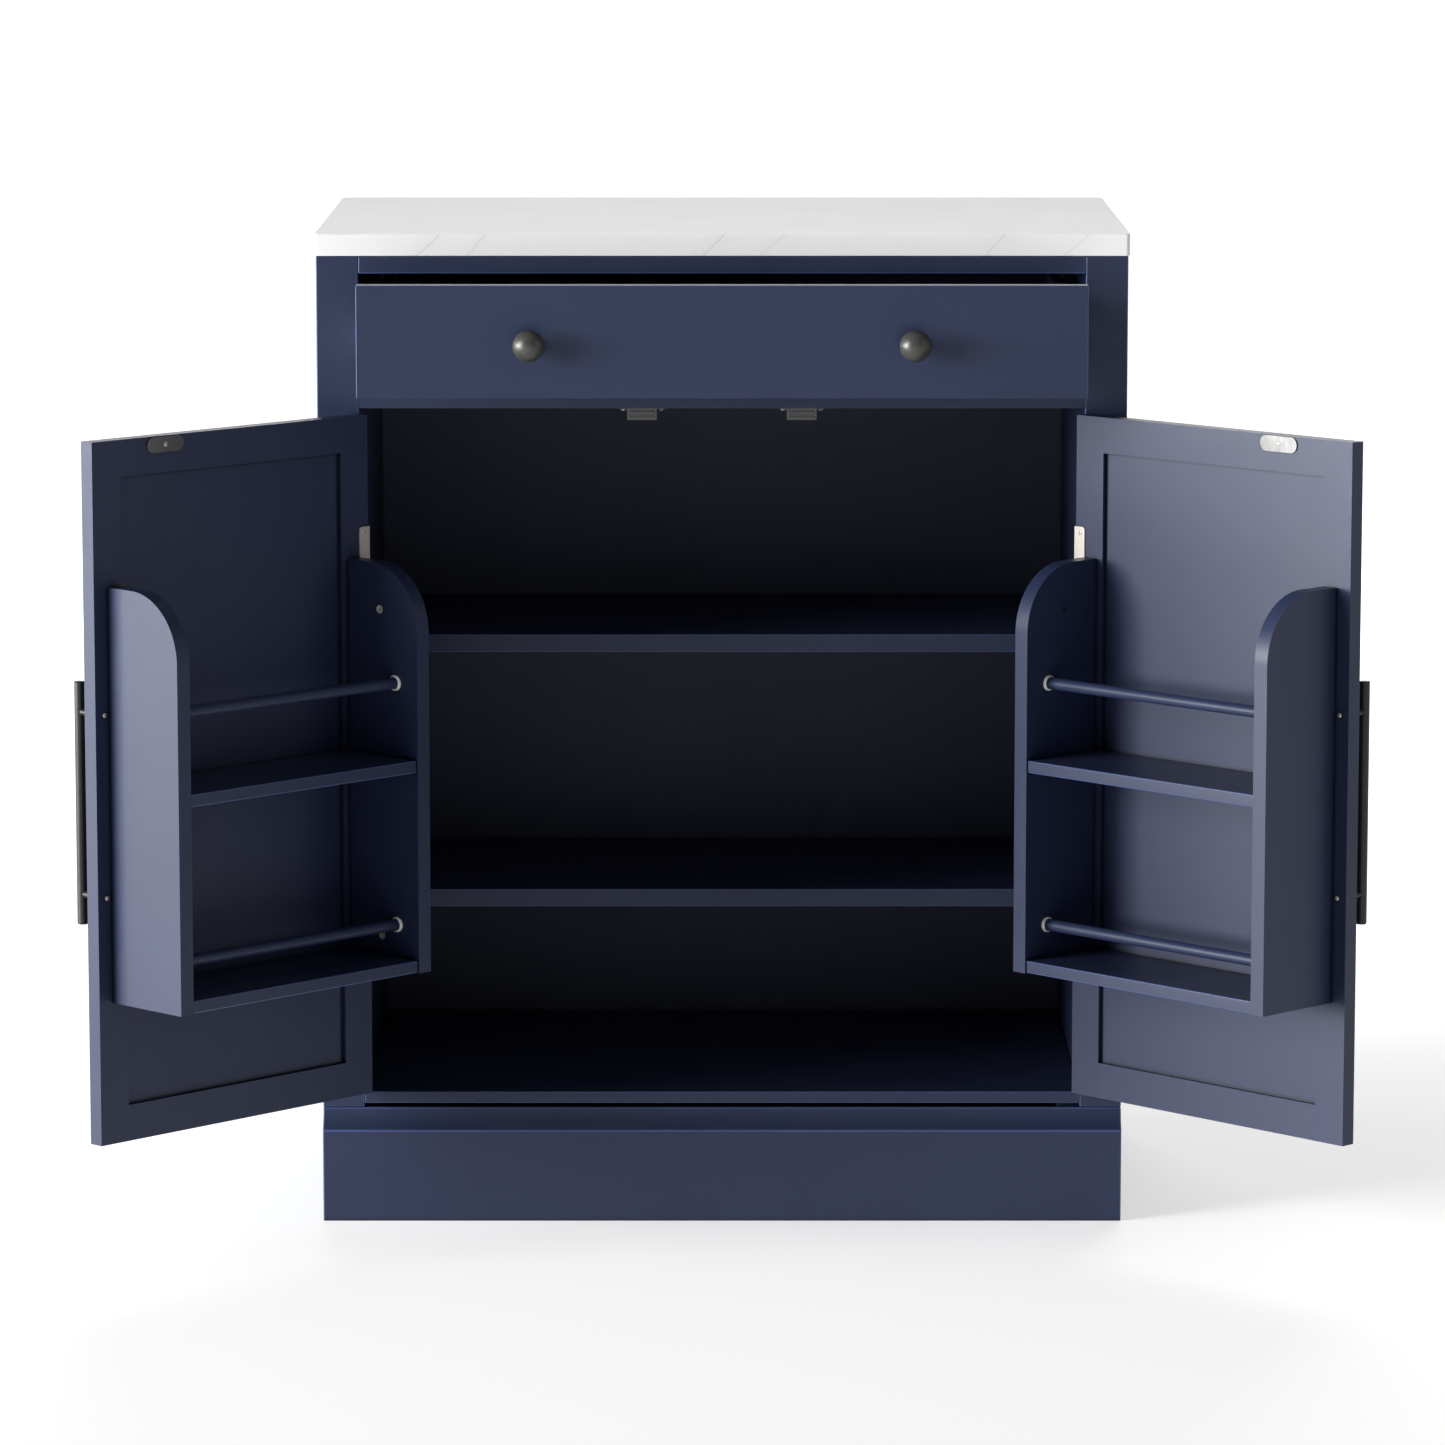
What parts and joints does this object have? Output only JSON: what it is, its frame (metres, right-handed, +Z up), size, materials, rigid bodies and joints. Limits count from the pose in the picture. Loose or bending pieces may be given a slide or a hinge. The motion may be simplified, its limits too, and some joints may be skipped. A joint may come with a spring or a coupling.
{
  "type": "kitchen island cabinet",
  "caption": "Kitchen island cabinet: stone top on a painted case with a full-width drawer, inset doors carrying storage racks, inner shelves and a plinth with a cove moulding.",
  "frame": {"origin": "floor level, middle of the width, in the front plane of the face frame", "axes": "+X to the right as seen from the front, +Y from the front towards the back, +Z up"},
  "size_m": [1.1762, 0.7815, 0.938],
  "materials": {
    "stone": "polished white stone with faint grey veins",
    "navy_paint": "satin navy paint on board",
    "inside_paint": "satin navy paint on board",
    "back_board": "matt near-black board",
    "door_paint": "satin navy paint on board",
    "rack_paint": "satin navy paint on board",
    "knob_metal": "satin gunmetal",
    "handle_metal": "satin black",
    "nickel": "satin nickel plate",
    "ferrule_metal": "bright plated ring",
    "zinc": "zinc plated sheet",
    "pole_steel": "dark steel plate",
    "catch_plastic": "dark grey moulded plastic"
  },
  "bodies": {
    "case": {"worktop": "stone", "left_stile": "navy_paint", "right_stile": "navy_paint", "top_rail": "navy_paint", "drawer_rail": "navy_paint", "left_side_panel": "navy_paint", "right_side_panel": "navy_paint", "left_side_lining": "inside_paint", "right_side_lining": "inside_paint", "case_battens": "inside_paint", "bottom_panel": "inside_paint", "inner_back_panel": "back_board", "back_panel": "navy_paint", "plinth_front": "navy_paint", "plinth_sides": "navy_paint", "plinth_back": "navy_paint", "upper_shelf": "inside_paint", "lower_shelf": "inside_paint", "shelf_pins": "nickel", "runner_channels": "zinc", "catch_bodies": "catch_plastic", "catch_plates": "pole_steel", "hinge_frame_leaves": "nickel", "hinge_pins": "nickel", "case_screws": "nickel"},
    "drawer": {"drawer_front": "navy_paint", "drawer_left_side": "inside_paint", "drawer_right_side": "inside_paint", "drawer_back": "inside_paint", "drawer_bottom": "inside_paint", "runner_slides": "zinc", "drawer_knobs": "knob_metal", "knob_screws": "nickel"},
    "left_door": {"left_door_stiles": "door_paint", "left_door_rails": "door_paint", "left_door_panel": "door_paint", "left_hinge_leaves": "nickel", "left_strike_plate": "nickel", "left_handle": "handle_metal", "left_door_screws": "nickel", "left_rack_hinge_side": "rack_paint", "left_rack_free_side": "rack_paint", "left_rack_shelves": "rack_paint", "left_rack_rails": "rack_paint", "left_rack_ferrules": "ferrule_metal", "left_rack_fittings": "nickel"},
    "right_door": {"right_door_stiles": "door_paint", "right_door_rails": "door_paint", "right_door_panel": "door_paint", "right_hinge_leaves": "nickel", "right_strike_plate": "nickel", "right_handle": "handle_metal", "right_door_screws": "nickel", "right_rack_hinge_side": "rack_paint", "right_rack_free_side": "rack_paint", "right_rack_shelves": "rack_paint", "right_rack_rails": "rack_paint", "right_rack_ferrules": "ferrule_metal", "right_rack_fittings": "nickel"}
  },
  "joints": [
    {"name": "left_door_hinge", "type": "hinge", "parent": "case", "child": "left_door", "pos_m": [-0.3397, 0.0006, 0.45], "axis": [0, 0, -1], "range_deg": [-134.4, 15.6]},
    {"name": "right_door_hinge", "type": "hinge", "parent": "case", "child": "right_door", "pos_m": [0.3397, 0.0006, 0.45], "axis": [0, 0, 1], "range_deg": [-134.4, 15.6]},
    {"name": "drawer_slide", "type": "slide", "parent": "case", "child": "drawer", "axis": [0, -1, 0], "range_m": [-0.1, 0.2]}
  ]
}
